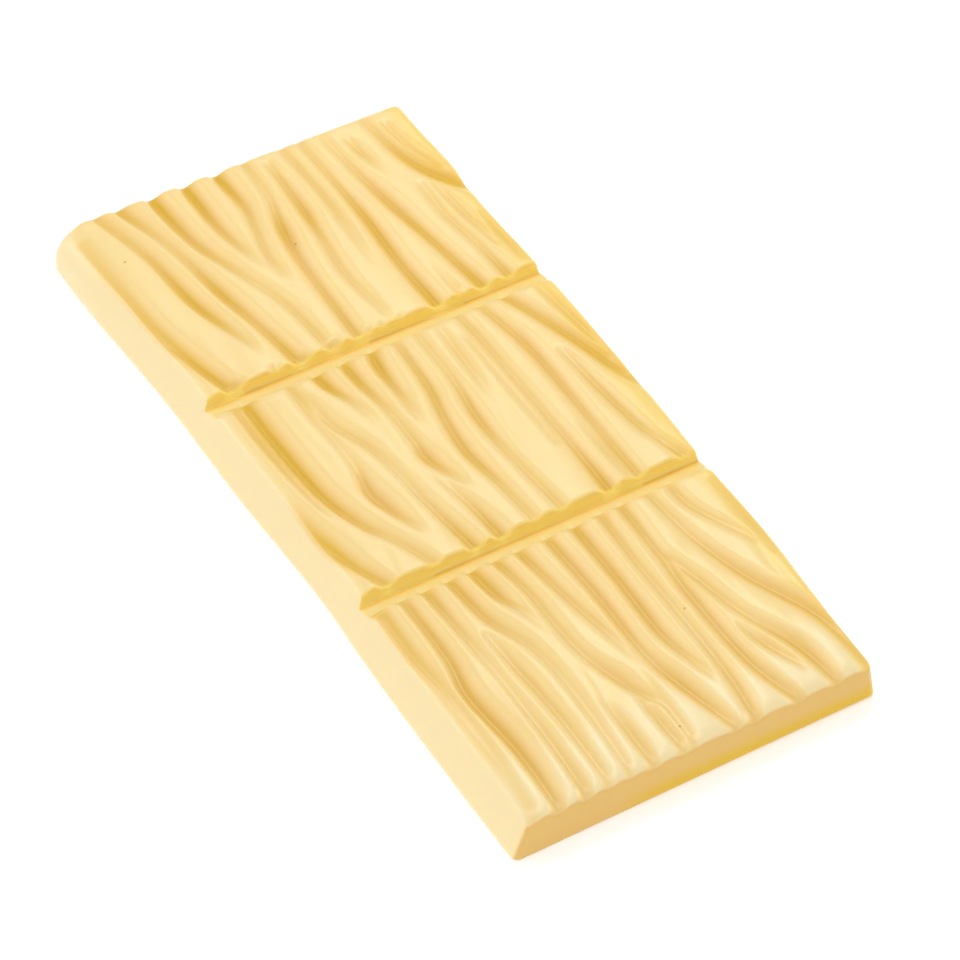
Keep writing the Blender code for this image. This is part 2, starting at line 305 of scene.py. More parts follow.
# %% Round corners
def round_corner(from_edge_a, from_edge_b, radius):
    """How far points near a square corner move in from each edge to lie on its arc."""
    a = np.clip(1 - from_edge_a / radius, 0, 1)
    b = np.clip(1 - from_edge_b / radius, 0, 1)
    return radius * a * (1 - np.sqrt(1 - b ** 2 / 2)), radius * b * (1 - np.sqrt(1 - a ** 2 / 2))


corner_moves = round_corner(0.0, 0.0, FAR_LEFT_RADII[FOOT])
print("the far left corner's foot moves in, mm:", np.round(corner_moves, 2))

# %% Foot and crest places of a point
def outline_place(share_along, share_across, level):
    """Plan place of a point at shares of the length and width, at the foot or the crests."""
    far_left_radius = FAR_LEFT_RADII[level]
    small_radius = SMALL_RADII[level]
    far, near = FAR_LEAN * level, LENGTH - NEAR_LEAN * level
    left, right = LEFT_LEAN * level, WIDTH - RIGHT_LEAN * level
    along = far + share_along * (near - far)
    across = left + share_across * (right - left)
    far_left = round_corner(along - far, across - left, far_left_radius)
    far_right = round_corner(along - far, right - across, small_radius)
    near_left = round_corner(near - along, across - left, small_radius)
    near_right = round_corner(near - along, right - across, small_radius)
    shift_along = far_left[0] + far_right[0] - near_left[0] - near_right[0]
    shift_across = far_left[1] - far_right[1] + near_left[1] - near_right[1]
    along = along + shift_along + wander(across, FAR_WANDER) * (1 - share_along)
    left_shift = wander(along, LEFT_WANDER) * (1 - share_across)
    right_shift = wander(along, RIGHT_WANDER) * share_across
    across = across + shift_across + left_shift + right_shift
    return along, across


print("a corner's foot, mm:", np.round(outline_place(0.0, 0.0, FOOT), 2))

# %% Both places of every point
points = np.array([vert.co for vert in bar_mesh.vertices])
counting = np.arange(len(places))
grid_along = np.interp(points[:, 0] * counting[-1], counting, places)
share_along = (grid_along - places[0]) / (places[-1] - places[0])
foot = outline_place(share_along, points[:, 1], FOOT)
crest = outline_place(share_along, points[:, 1], CREST)
print("foot outline, mm:", np.ptp(foot[0]).round(2), "x", np.ptp(foot[1]).round(2))

# %% [markdown]
# ## Soft upper edges
#
# Chocolate shrinks a little as it sets and its edges come out round. The left rim and the
# near end are the softest. A bevel would round a clean box, but here the rim has to blend
# into ridges that run over it, so the rounding is a depth that fades away from the wall.
# The near end rolls over in a quarter of an ellipse, and the crests tip down towards it.
# All this is worked out once for every point and stored beside the two places.

# %% Rounded edges: how far each drops and how far in it reaches, in mm
LEFT_EDGE = (0.8, 1.8)
RIGHT_EDGE = (0.5, 1.0)
FAR_EDGE = (0.5, 1.0)


def edge_sink(distance, edge):
    """How far a rounded upper edge has dropped at a distance in from the wall."""
    drop, reach = edge
    return drop * np.clip(1 - distance / reach, 0, 1) ** 2


along, across = crest
rounding = (
    edge_sink(across - LEFT_LEAN - wander(along, LEFT_WANDER), LEFT_EDGE)
    + edge_sink(WIDTH + wander(along, RIGHT_WANDER) - RIGHT_LEAN - across, RIGHT_EDGE)
    + edge_sink(along - FAR_LEAN - wander(across, FAR_WANDER), FAR_EDGE)
)
print("deepest edge rounding, mm:", rounding.max().round(2))

# %% The near end rolls over and its crests tip down
NEAR_ROLL = (1.0, 1.8)
NEAR_TIP = (0.5, 12.0)
ROLL_FULLNESS = 0.97

roll_drop, roll_reach = NEAR_ROLL
from_roll = 1 - np.clip((LENGTH - NEAR_LEAN - along) / roll_reach, 0, 1)
near_roll = roll_drop * (1 - np.sqrt(1 - from_roll ** 2 * ROLL_FULLNESS))
near_slope = edge_sink(LENGTH - along, NEAR_TIP)
print("deepest roll, mm:", near_roll.max().round(2))

# %% Store it all on the mesh, with how far each point is inside its block
block_ends = np.array([0.0, *np.repeat(BREAK_LINES, 2), LENGTH])
from_ends = np.abs(along[:, None] - block_ends).min(axis=1)
from_rims = np.minimum(across - LEFT_LEAN, WIDTH - across)
inside = np.clip(np.minimum(from_ends, from_rims), 0, None)
level_ground = np.zeros(len(points))
for name, vectors in {"foot": foot, "crest": crest}.items():
    attribute = bar_mesh.attributes.new(name, "FLOAT_VECTOR", "POINT")
    attribute.data.foreach_set("vector", np.column_stack((*vectors, level_ground)).ravel())
measures = {
    "rounding": rounding,
    "up": points[:, 2],
    "inside": inside,
    "near_roll": near_roll + near_slope,
}
for name, values in measures.items():
    attribute = bar_mesh.attributes.new(name, "FLOAT", "POINT")
    attribute.data.foreach_set("value", values)
print("stored:", ", ".join(bar_mesh.attributes.keys()))

# %% [markdown]
# ## The furrows as curves
#
# The relief is drawn the way a mould maker would cut it, one furrow at a time. Each furrow
# is a curve through a few stations, and a station is (along, across, depth). The depth is
# kept as the curve's radius. Painting a height map would also work, but it fixes the
# resolution and hides the design, and a curve can be moved by hand afterwards.

# %% Furrow stations, in mm
FURROWS = (
    # far block
    ((4, 2.6, 0.4), (14, 2.9, 0.6), (24, 3.6, 0.8), (31, 4.9, 1.0), (38, 6.7, 1.0)),
    ((0, 6.3, 0.6), (10, 8.7, 0.7), (20, 9.9, 1.0), (27, 11.4, 0.8), (34, 13.0, 0.1)),
    ((0, 9.8, 0.9), (10, 12.1, 0.6), (21, 14.0, 1.0), (30, 15.6, 0.9), (38, 16.8, 1.0)),
    ((0, 14.7, 1.1), (11, 15.6, 1.0), (20, 17.9, 0.5), (28, 20.3, 0.6), (38, 21.2, 0.5)),
    ((0, 19.6, 1.1), (9, 19.7, 1.0), (15, 20.2, 0.6), (20, 21.0, 0.1)),
    ((0, 24.3, 1.1), (8, 24.6, 0.9), (13, 23.6, 0.6), (19, 22.6, 0.6), (24, 22.9, 0.1)),
    ((0, 28.3, 0.5), (8, 28.2, 0.5), (15, 27.0, 1.1), (23, 26.0, 0.9), (38, 25.6, 0.8)),
    ((3, 31.2, 0.4), (11, 31.3, 1.0), (19, 30.6, 0.7), (27, 29.9, 0.6), (37, 30.8, 0.2)),
    ((0, 34.1, 0.4), (10, 34.7, 0.6), (20, 34.4, 0.4), (27, 34.0, 0.1)),
    ((0, 36.9, 0.4), (9, 37.3, 0.6), (18, 37.7, 1.0), (28, 37.4, 1.1), (38, 37.7, 1.1)),
    ((1, 40.2, 0.2), (8, 40.6, 0.5), (17, 41.9, 1.1), (27, 43.2, 0.9), (38, 44.7, 1.1)),
    ((30, 40.8, 0.1), (38, 41.1, 0.4)),
    ((3, 42.7, 0.1), (7, 43.3, 0.6), (12, 44.1, 0.1)),
    ((2, 46.7, 0.4), (9, 47.7, 0.9), (14, 49.2, 1.1), (18, 51.4, 1.1), (22, 53.7, 0.6)),
    ((4, 48.8, 0.4), (10, 49.6, 0.6), (15, 51.2, 0.6)),
    ((17, 47.1, 0.3), (24, 47.1, 0.5), (31, 48.0, 0.5), (38, 48.6, 1.0)),
    ((18, 48.8, 0.3), (25, 49.4, 0.5), (32, 50.3, 0.3)),
    ((26, 51.6, 0.3), (31, 51.8, 0.6), (36, 52.0, 0.3)),
    # middle block
    ((38, 7.3, 1.1), (48, 7.3, 1.2), (60, 7.9, 1.1), (67, 9.5, 0.9), (72, 11.7, 0.6),
     (78, 14.1, 0.6)),
    ((40, 5.4, 0.7), (50, 5.6, 0.8), (60, 6.1, 0.5), (66, 7.2, 0.1)),
    ((58, 3.4, 0.2), (65, 3.9, 0.8), (70, 4.7, 1.0), (74, 5.7, 0.9), (78, 7.2, 0.8)),
    ((38, 13.2, 0.6), (48, 13.2, 0.5), (57, 13.6, 0.3), (63, 13.4, 1.1), (67, 14.2, 1.0),
     (73, 15.4, 0.1)),
    ((44, 14.0, 0.3), (50, 14.7, 0.6), (56, 16.8, 0.6), (62, 17.8, 0.4), (68, 18.4, 0.6),
     (78, 20.0, 1.0)),
    ((38, 17.4, 1.0), (43, 17.8, 1.1), (48, 18.9, 0.5), (53, 20.0, 0.1)),
    ((38, 21.9, 1.0), (44, 21.7, 1.0), (52, 22.2, 0.5), (58, 22.4, 0.6), (62, 22.7, 1.0),
     (69, 24.5, 0.1)),
    ((38, 26.8, 0.8), (43, 25.5, 1.1), (49, 25.1, 0.7), (57, 24.8, 0.1)),
    ((66, 21.8, 0.2), (72, 23.1, 0.7), (78, 23.9, 1.0)),
    ((38, 29.4, 0.5), (50, 29.0, 0.8), (56, 28.0, 0.8), (63, 27.5, 1.0), (71, 28.2, 0.6),
     (78, 28.7, 0.5)),
    ((38, 32.2, 0.4), (50, 32.3, 0.5), (59, 31.7, 0.9), (67, 31.8, 0.5), (78, 32.8, 0.6)),
    ((42, 35.3, 0.2), (49, 35.3, 0.5), (57, 34.9, 0.1)),
    ((38, 38.5, 0.5), (46, 39.2, 0.6), (55, 39.4, 0.6), (66, 39.6, 0.7), (78, 39.8, 1.1)),
    ((46, 37.8, 0.3), (57, 38.0, 0.4), (68, 38.2, 0.3)),
    ((38, 41.6, 0.5), (46, 43.2, 0.8), (52, 44.1, 1.0), (66, 44.1, 0.8), (78, 44.2, 0.8)),
    ((65, 42.6, 0.1), (72, 42.8, 0.5), (78, 43.0, 0.3)),
    ((40, 45.6, 0.9), (46, 47.8, 0.9), (54, 50.3, 1.0), (60, 51.8, 0.9), (65, 53.2, 0.4)),
    ((42, 50.8, 0.3), (50, 51.7, 0.6), (57, 52.4, 0.6)),
    ((54, 47.2, 0.3), (62, 47.9, 0.7), (70, 48.8, 0.7), (74, 49.7, 0.5), (78, 51.0, 0.8)),
    # near block
    ((80, 4.5, 0.8), (90, 4.3, 0.8), (98, 4.6, 0.5), (108, 4.4, 0.3), (121, 4.2, 0.3)),
    ((80, 7.7, 0.8), (92, 7.8, 0.9), (99, 7.1, 1.1), (109, 7.9, 1.1), (121, 7.5, 0.6)),
    ((80, 11.0, 1.0), (88, 11.1, 0.7), (98, 11.3, 0.3), (110, 11.5, 0.5), (121, 11.4, 0.6)),
    ((80, 14.4, 1.0), (89, 15.2, 0.9), (96, 17.4, 0.6), (104, 18.0, 0.4), (121, 17.5, 0.3)),
    ((92, 13.4, 0.3), (99, 14.2, 0.7), (107, 14.6, 0.6), (121, 14.5, 0.3)),
    ((80, 17.6, 1.0), (86, 18.4, 1.1), (91, 19.5, 0.4), (95, 20.3, 0.1)),
    ((80, 20.9, 1.0), (88, 21.8, 0.7), (99, 22.1, 0.6), (107, 24.4, 0.9), (114, 26.9, 0.1)),
    ((80, 24.3, 1.0), (88, 25.1, 0.8), (97, 26.3, 0.6), (105, 27.5, 0.1)),
    ((107, 26.5, 0.2), (113, 26.7, 0.4), (121, 26.7, 0.3)),
    ((109, 24.4, 0.1), (114, 24.8, 0.6), (121, 25.2, 0.4)),
    ((108, 20.3, 0.1), (114, 20.7, 0.6), (121, 20.9, 0.5)),
    ((80, 28.5, 0.9), (92, 29.1, 1.0), (104, 29.0, 0.8), (111, 30.4, 1.0), (121, 32.9, 0.5)),
    ((80, 32.6, 1.0), (92, 32.7, 1.0), (102, 32.6, 1.0), (108, 33.4, 0.6), (113, 34.2, 0.1)),
    ((80, 36.5, 0.8), (90, 36.0, 0.6), (101, 36.0, 0.5), (112, 36.0, 0.7), (121, 35.2, 0.7)),
    ((80, 39.5, 0.9), (91, 39.2, 0.7), (99, 39.0, 0.9), (112, 39.5, 0.9), (121, 42.0, 0.7)),
    ((89, 39.0, 0.4), (97, 41.2, 0.7), (105, 43.0, 0.6), (113, 46.2, 1.0), (121, 47.2, 0.6)),
    ((105, 41.1, 0.1), (110, 42.5, 0.7), (116, 44.7, 0.3)),
    ((80, 43.3, 0.6), (90, 44.2, 0.6), (99, 46.6, 0.9), (108, 50.4, 1.0), (114, 51.5, 0.8),
     (121, 51.7, 0.5)),
    ((80, 46.7, 0.6), (86, 47.0, 0.6), (95, 50.8, 0.3)),
    ((84, 52.0, 0.3), (92, 52.2, 0.5), (98, 52.4, 0.3)),
)

# %% Draw the furrows
furrow_curve = bpy.data.curves.new("furrow_lines", "CURVE")
for stations in FURROWS:
    furrow_line = furrow_curve.splines.new("POLY")
    furrow_line.points.add(len(stations) - 1)
    for point, (along_mm, across_mm, depth_mm) in zip(furrow_line.points, stations):
        point.co = (along_mm, across_mm, 0, 1)
        point.radius = depth_mm
furrow_lines = bpy.data.objects.new("furrow_lines", furrow_curve)
bpy.context.scene.collection.objects.link(furrow_lines)
print("furrows:", len(FURROWS), "stations:", sum(len(stations) for stations in FURROWS))

# %% [markdown]
# ## The moulding tree: its inputs
#
# Geometry Nodes do the moulding, because the whole top follows one rule: at every point,
# ask each furrow how far away it is and how deep it runs there, and sink the surface by
# the answer. The sizes that a maker would want to turn are named inputs of the tree.

# %% The tree and its named inputs
tree = bpy.data.node_groups.new("moulded bar", "GeometryNodeTree")
tree.is_modifier = True
INPUTS = {
    "Block": ("NodeSocketGeometry", None),
    "Furrow lines": ("NodeSocketObject", furrow_lines),
    "Height": ("NodeSocketFloat", HEIGHT),
    "Depth per radius": ("NodeSocketFloat", 1.15),
    "Furrow half width": ("NodeSocketFloat", 1.1),
    "Half width per depth": ("NodeSocketFloat", 0.75),
    "Shoulder share": ("NodeSocketFloat", 0.16),
    "Shoulder width": ("NodeSocketFloat", 5.5),
    "Ripple depth": ("NodeSocketFloat", 0.22),
    "Break depth": ("NodeSocketFloat", 2.1),
    "Break wall run": ("NodeSocketFloat", 1.1),
    "Ramp run": ("NodeSocketFloat", 2.5),
    "Ramp top depth": ("NodeSocketFloat", 0.9),
    "Nose run": ("NodeSocketFloat", 1.6),
    "Foot fillet": ("NodeSocketFloat", 0.35),
    "Material": ("NodeSocketMaterial", None),
}
for name, (kind, _) in INPUTS.items():
    tree.interface.new_socket(name, in_out="INPUT", socket_type=kind)
tree.interface.new_socket("Bar", in_out="OUTPUT", socket_type="NodeSocketGeometry")
given = tree.nodes.new("NodeGroupInput").outputs
print("tree inputs:", ", ".join(INPUTS))

# %% [markdown]
# ## Furrows, one at a time
#
# A Catmull-Rom spline passes through its stations, so the lines bend smoothly without
# extra handles. They are resampled every fifth of a millimetre, numbered, and turned into
# bare edges. A Repeat Zone then visits them one by one, and picks the furrow whose number
# is within a half of its own count. Geometry Proximity gives the distance from the point
# to the furrow, and Sample Nearest looks up the depth there.

# %% Number and resample the lines
LINE_STEP = 0.2
lines = add(tree, "GeometryNodeObjectInfo", [given["Furrow lines"]]).node.outputs["Geometry"]
line_sizes = add(tree, "GeometryNodeAttributeDomainSize", [lines], component="CURVE")
line_count = line_sizes.node.outputs["Spline Count"]
numbered = add(tree, "GeometryNodeStoreNamedAttribute", {
    "Geometry": lines, "Name": "line", "Value": add(tree, "GeometryNodeInputIndex")},
    data_type="INT", domain="CURVE")
smooth = add(tree, "GeometryNodeCurveSplineType", [numbered], spline_type="CATMULL_ROM")
fine = add(tree, "GeometryNodeResampleCurve", {"Curve": smooth, "Length": LINE_STEP}, mode="LENGTH")
deep = add(tree, "GeometryNodeStoreNamedAttribute", {
    "Geometry": fine, "Name": "depth", "Value": add(tree, "GeometryNodeInputRadius")})
threads = add(tree, "GeometryNodeCurveToMesh", {"Curve": deep})
print("a point on each furrow every, mm:", LINE_STEP)

# %% The Repeat Zone visits one furrow at a time
HALF_A_LINE = 0.5

crest_place = add(tree, "GeometryNodeInputNamedAttribute", ["crest"], data_type="FLOAT_VECTOR")
blank = add(tree, "GeometryNodeStoreNamedAttribute", {
    "Geometry": given["Block"], "Name": "grain", "Value": 0.0})
loop_start = tree.nodes.new("GeometryNodeRepeatInput")
loop_end = tree.nodes.new("GeometryNodeRepeatOutput")
loop_start.pair_with_output(loop_end)
tree.links.new(line_count, loop_start.inputs["Iterations"])
tree.links.new(blank, loop_start.inputs["Geometry"])

line_number = add(tree, "GeometryNodeInputNamedAttribute", ["line"], data_type="INT")
chosen = add(tree, "ShaderNodeMath", [
    line_number, loop_start.outputs["Iteration"], HALF_A_LINE], operation="COMPARE")
furrow = add(tree, "GeometryNodeSeparateGeometry", [threads, chosen], domain="POINT")
closest = add(tree, "GeometryNodeProximity", {
    "Target": furrow, "Source Position": crest_place}, target_element="EDGES")
distance = closest.node.outputs["Distance"]
nearest = add(tree, "GeometryNodeSampleNearest", [furrow, crest_place])
radius = add(tree, "GeometryNodeSampleIndex", {
    "Geometry": furrow, "Value": add(tree, "GeometryNodeInputNamedAttribute", ["depth"]),
    "Index": nearest})
depth = add(tree, "ShaderNodeMath", [radius, given["Depth per radius"]], operation="MULTIPLY")
print("nodes so far:", len(tree.nodes))

# %% [markdown]
# ## A furrow's cross-section
#
# Each furrow is a round valley whose half width grows with its depth. A share of its depth
# goes to soft shoulders, which are wider than the valley between them, because a cut with
# no shoulders looks scratched and not moulded. Where two furrows meet, adding their fourth
# powers and taking the root at the end keeps the deeper of the two but rounds the crest
# between them, as a polished mould would.

# %% Sink the valley and its shoulders
CREST_SOFTNESS = 4.0

half_width = add(tree, "ShaderNodeMath", [
    depth, given["Half width per depth"], given["Furrow half width"]], operation="MULTIPLY_ADD")
side = add(tree, "ShaderNodeMath", [distance, half_width], operation="DIVIDE")
side_squared = add(tree, "ShaderNodeMath", [side, side], operation="MULTIPLY")
valley = add(tree, "ShaderNodeMath", [1.0, side_squared], operation="SUBTRACT", use_clamp=True)
valley_squared = add(tree, "ShaderNodeMath", [valley, valley], operation="MULTIPLY")
shoulder_side = add(tree, "ShaderNodeMath", [
    side_squared, given["Shoulder width"]], operation="DIVIDE")
shoulder = add(tree, "ShaderNodeMath", [
    1.0, shoulder_side], operation="SUBTRACT", use_clamp=True)
shoulder_squared = add(tree, "ShaderNodeMath", [shoulder, shoulder], operation="MULTIPLY")
profile = add(tree, "ShaderNodeMix", {
    0: given["Shoulder share"], 2: valley_squared, 3: shoulder_squared})
sink = add(tree, "ShaderNodeMath", [depth, profile], operation="MULTIPLY")
sink_power = add(tree, "ShaderNodeMath", [sink, CREST_SOFTNESS], operation="POWER")
grain_so_far = add(tree, "GeometryNodeInputNamedAttribute", ["grain"])
grain_sum = add(tree, "ShaderNodeMath", [grain_so_far, sink_power], operation="ADD")
one_more = add(tree, "GeometryNodeStoreNamedAttribute", {
    "Geometry": loop_start.outputs["Geometry"], "Name": "grain", "Value": grain_sum})
tree.links.new(one_more, loop_end.inputs["Geometry"])
print("nodes so far:", len(tree.nodes))

# %% [markdown]
# ## Break lines
#
# The bar snaps along two lines. On the far side of each there is a steep wall with a soft
# upper edge, and on the near side a gentle ramp up to the round noses of the next ridges.
# The same cross-section is needed twice, so it is a node group. From the distance past
# the line it tells how far the surface sinks in the groove and at the noses, and how high
# up the steep wall the point is.

# %% The break line's cross-section as a group
section = bpy.data.node_groups.new("break line", "GeometryNodeTree")
SECTION_INPUTS = (
    "Past the line", "Break depth", "Break wall run", "Ramp run", "Ramp top depth", "Nose run")
for name in SECTION_INPUTS:
    section.interface.new_socket(name, in_out="INPUT", socket_type="NodeSocketFloat")
for name in ("Groove", "Nose", "Wall"):
    section.interface.new_socket(name, in_out="OUTPUT", socket_type="NodeSocketFloat")
part = section.nodes.new("NodeGroupInput").outputs
result = section.nodes.new("NodeGroupOutput").inputs
print("the cross-section's sizes:", ", ".join(SECTION_INPUTS[1:]))

# %% The steep wall and the ramp
WALL_CURVE = 2.3

before = add(section, "ShaderNodeMath", [part["Past the line"], -1.0], operation="MULTIPLY")
wall_share = add(section, "ShaderNodeMapRange", {
    "Value": before, "From Min": 0.0, "From Max": part["Break wall run"],
    "To Min": 1.0, "To Max": 0.0})
wall_curve = add(section, "ShaderNodeMath", [wall_share, WALL_CURVE], operation="POWER")
wall = add(section, "ShaderNodeMath", [wall_curve, part["Break depth"]], operation="MULTIPLY")
ramp = add(section, "ShaderNodeMapRange", {
    "Value": part["Past the line"], "From Min": 0.0, "From Max": part["Ramp run"],
    "To Min": part["Break depth"], "To Max": part["Ramp top depth"]})
past = add(section, "ShaderNodeMath", [part["Past the line"], 0.0], operation="GREATER_THAN")
on_ramp = add(section, "ShaderNodeMath", [
    part["Past the line"], part["Ramp run"]], operation="LESS_THAN")
wall_or_ramp = add(section, "ShaderNodeMix", {0: past, 2: wall, 3: ramp})
groove = add(section, "ShaderNodeMath", [wall_or_ramp, on_ramp], operation="MULTIPLY")
print("nodes for wall and ramp:", len(section.nodes))

# %% The round noses, and the group's outputs
NOSE_CURVE = 2.0

nose_end = add(section, "ShaderNodeMath", [part["Ramp run"], part["Nose run"]], operation="ADD")
nose_share = add(section, "ShaderNodeMapRange", {
    "Value": part["Past the line"], "From Min": part["Ramp run"], "From Max": nose_end,
    "To Min": 1.0, "To Max": 0.0})
nose_curve = add(section, "ShaderNodeMath", [nose_share, NOSE_CURVE], operation="POWER")
nose_drop = add(section, "ShaderNodeMath", [
    nose_curve, part["Ramp top depth"]], operation="MULTIPLY")
nose = add(section, "ShaderNodeMath", [nose_drop, past], operation="MULTIPLY")
section.links.new(groove, result["Groove"])
section.links.new(nose, result["Nose"])
section.links.new(wall_share, result["Wall"])
print("nodes in the cross-section:", len(section.nodes))

# %% Use it at both break lines
along_bar = add(tree, "ShaderNodeSeparateXYZ", [crest_place])
grooves, noses, break_walls = 0.0, 0.0, 0.0
for line_place in BREAK_LINES:
    past_line = add(tree, "ShaderNodeMath", [along_bar, line_place], operation="SUBTRACT")
    crossing = add(tree, "GeometryNodeGroup", node_tree=section).node
    tree.links.new(past_line, crossing.inputs["Past the line"])
    for name in SECTION_INPUTS[1:]:
        tree.links.new(given[name], crossing.inputs[name])
    cut = crossing.outputs
    grooves = add(tree, "ShaderNodeMath", [grooves, cut["Groove"]], operation="MAXIMUM")
    noses = add(tree, "ShaderNodeMath", [noses, cut["Nose"]], operation="MAXIMUM")
    not_past = add(tree, "ShaderNodeMath", [past_line, 0.0], operation="LESS_THAN")
    break_wall = add(tree, "ShaderNodeMath", [cut["Wall"], not_past], operation="MULTIPLY")
    break_walls = add(tree, "ShaderNodeMath", [break_walls, break_wall], operation="MAXIMUM")
print("break lines at, mm:", BREAK_LINES)

# %% [markdown]
# ## From depths to a body
#
# Furrows, rims and noses are combined like the sides of a right triangle, so where a
# furrow runs out over a rim the two roundings melt together. The break lines come last and
# win wherever they are deeper. Each point then stands at its share of the height left, and
# slides from its foot place to its crest place as the wall rises.
#
# Fine ripples keep the ridges from looking turned on a lathe. They are a noise stretched
# along the bar, because the grain that they belong to runs that way.

# %% Fine ripples along the ridges
RIPPLE_SIZE = (16.0, 3.2, 1.0)
USUAL_NOISE = (0.3, 0.7)

stretched = add(tree, "ShaderNodeVectorMath", [crest_place, RIPPLE_SIZE], operation="DIVIDE")
ripple_noise = add(tree, "ShaderNodeTexNoise", {
    "Vector": stretched, "Scale": 1.0, "Detail": 1.0, "Roughness": 0.4, "Distortion": 0.4})
ripple_height = add(tree, "ShaderNodeMapRange", {
    "Value": ripple_noise, "From Min": USUAL_NOISE[0], "From Max": USUAL_NOISE[1]})
ripples = add(tree, "ShaderNodeMath", [
    ripple_height, given["Ripple depth"]], operation="MULTIPLY")
print("ripples, mm long and wide:", RIPPLE_SIZE[:2])

# %% Combine the depths
BREAK_SOFTNESS = 0.3

grain_power = add(tree, "GeometryNodeInputNamedAttribute", ["grain"])
grain = add(tree, "ShaderNodeMath", [grain_power, 1 / CREST_SOFTNESS], operation="POWER")
rims = add(tree, "ShaderNodeMath", [
    add(tree, "GeometryNodeInputNamedAttribute", ["rounding"]), noses], operation="ADD")
sides = add(tree, "ShaderNodeCombineXYZ", [grain, rims, ripples])
relief = add(tree, "ShaderNodeVectorMath", [sides], operation="LENGTH").node.outputs["Value"]
broken = add(tree, "ShaderNodeMath", [
    relief, grooves, BREAK_SOFTNESS], operation="SMOOTH_MAX")
total = add(tree, "ShaderNodeMath", [
    broken, add(tree, "GeometryNodeInputNamedAttribute", ["near_roll"])], operation="ADD")
print("nodes in the tree:", len(tree.nodes))

# %% Keep what the material will look up
TINT_STARTS = 0.8

rising = add(tree, "GeometryNodeInputNamedAttribute", ["up"])
# the furrow's depth, which the material turns into painted shade
tint_share = add(tree, "ShaderNodeMapRange", {
    "Value": rising, "From Min": TINT_STARTS, "From Max": 1.0})
tint = add(tree, "ShaderNodeMath", [grain, tint_share], operation="MULTIPLY")
kept = {"furrow": tint, "groove": grooves, "rising": rising, "break_wall": break_walls}
furrowed = loop_end.outputs["Geometry"]
for name, value in kept.items():
    furrowed = add(tree, "GeometryNodeStoreNamedAttribute", {
        "Geometry": furrowed, "Name": name, "Value": value})
print("kept for the material:", ", ".join(kept))

# %% Raise the walls and place every point
WALL_POWER = 1.15
CORNER_WALL_POWER = 3.0
CORNER_REACH = 18.0

up_mark = add(tree, "GeometryNodeInputNamedAttribute", ["up"])
up = add(tree, "ShaderNodeMath", [up_mark, 0.0], operation="MAXIMUM")
top = add(tree, "ShaderNodeMath", [given["Height"], total], operation="SUBTRACT")
height = add(tree, "ShaderNodeMath", [up, top], operation="MULTIPLY")
foot_place = add(tree, "GeometryNodeInputNamedAttribute", ["foot"], data_type="FLOAT_VECTOR")
to_foot = add(tree, "ShaderNodeVectorMath", [foot_place], operation="LENGTH")
power = add(tree, "ShaderNodeMapRange", {
    "Value": to_foot.node.outputs["Value"], "From Min": 0.0, "From Max": CORNER_REACH,
    "To Min": CORNER_WALL_POWER, "To Max": WALL_POWER}, interpolation_type="SMOOTHSTEP")
height_share = add(tree, "ShaderNodeMath", [height, given["Height"]], operation="DIVIDE")
share_up = add(tree, "ShaderNodeMath", [height_share, power], operation="POWER")
plan = add(tree, "ShaderNodeMix", {
    "Factor": share_up, 4: foot_place, 5: crest_place}, data_type="VECTOR").node.outputs[1]
print("nodes in the tree:", len(tree.nodes))

# %% Round the foot and tuck in the underside
FILLET_CURVE = 2.0
UNDERSIDE_TUCK = 15.0

inward = add(tree, "ShaderNodeVectorMath", [
    add(tree, "ShaderNodeVectorMath", [crest_place, foot_place], operation="SUBTRACT")],
    operation="NORMALIZE")
below_fillet = add(tree, "ShaderNodeMapRange", {
    "Value": height, "From Min": 0.0, "From Max": given["Foot fillet"],
    "To Min": 1.0, "To Max": 0.0})
fillet_share = add(tree, "ShaderNodeMath", [below_fillet, FILLET_CURVE], operation="POWER")
bend = add(tree, "ShaderNodeMath", [
    fillet_share, given["Foot fillet"]], operation="MULTIPLY")
underside = add(tree, "ShaderNodeMath", [up_mark, 0.0], operation="MINIMUM")
tuck = add(tree, "ShaderNodeMath", [underside, -UNDERSIDE_TUCK, bend], operation="MULTIPLY_ADD")
tucked = add(tree, "ShaderNodeVectorMath", {0: inward, "Scale": tuck}, operation="SCALE")
flat = add(tree, "ShaderNodeVectorMath", [plan, tucked], operation="ADD")
raised = add(tree, "ShaderNodeVectorMath", [
    flat, add(tree, "ShaderNodeCombineXYZ", [0.0, 0.0, height])], operation="ADD")
print("nodes in the tree:", len(tree.nodes))

# %% End the tree
moulded = add(tree, "GeometryNodeSetPosition", {"Geometry": furrowed, "Position": raised})
realized = add(tree, "GeometryNodeRealizeInstances", [moulded])
coated = add(tree, "GeometryNodeSetMaterial", {"Geometry": realized, "Material": given["Material"]})
ending = tree.nodes.new("NodeGroupOutput")
tree.links.new(coated, ending.inputs["Bar"])
print("nodes in the tree:", len(tree.nodes))

# %% [markdown]
# ## White chocolate
#
# White chocolate is cocoa butter, milk powder and sugar, so it sets to a pale warm yellow.
# Light goes a little way into it before it comes back out, and a polished mould leaves a
# satin gloss. The eye reads three things here: cream crests, a deeper yellow at the bottom
# of the furrows, and gold in the break lines. The yellow and the gold are painted shade.
#
# One flat colour with good light would be nearly right. Here much of the light and shade
# is painted into the colour instead, laid on in layers: painted shade in the hollows, along
# the right rim and on the steep ends, and painted light on the left wall and the near tips.
# Each layer has a colour and some shares from 0 to 1, and covers the bar by their product.

# %% Colours
def linear(hex_colour):
    """An sRGB hex colour as linear RGBA."""
    parts = [int(hex_colour[i:i + 2], 16) / 255 for i in (1, 3, 5)]
    return (*(c / 12.92 if c <= 0.04045 else ((c + 0.055) / 1.055) ** 2.4 for c in parts), 1.0)


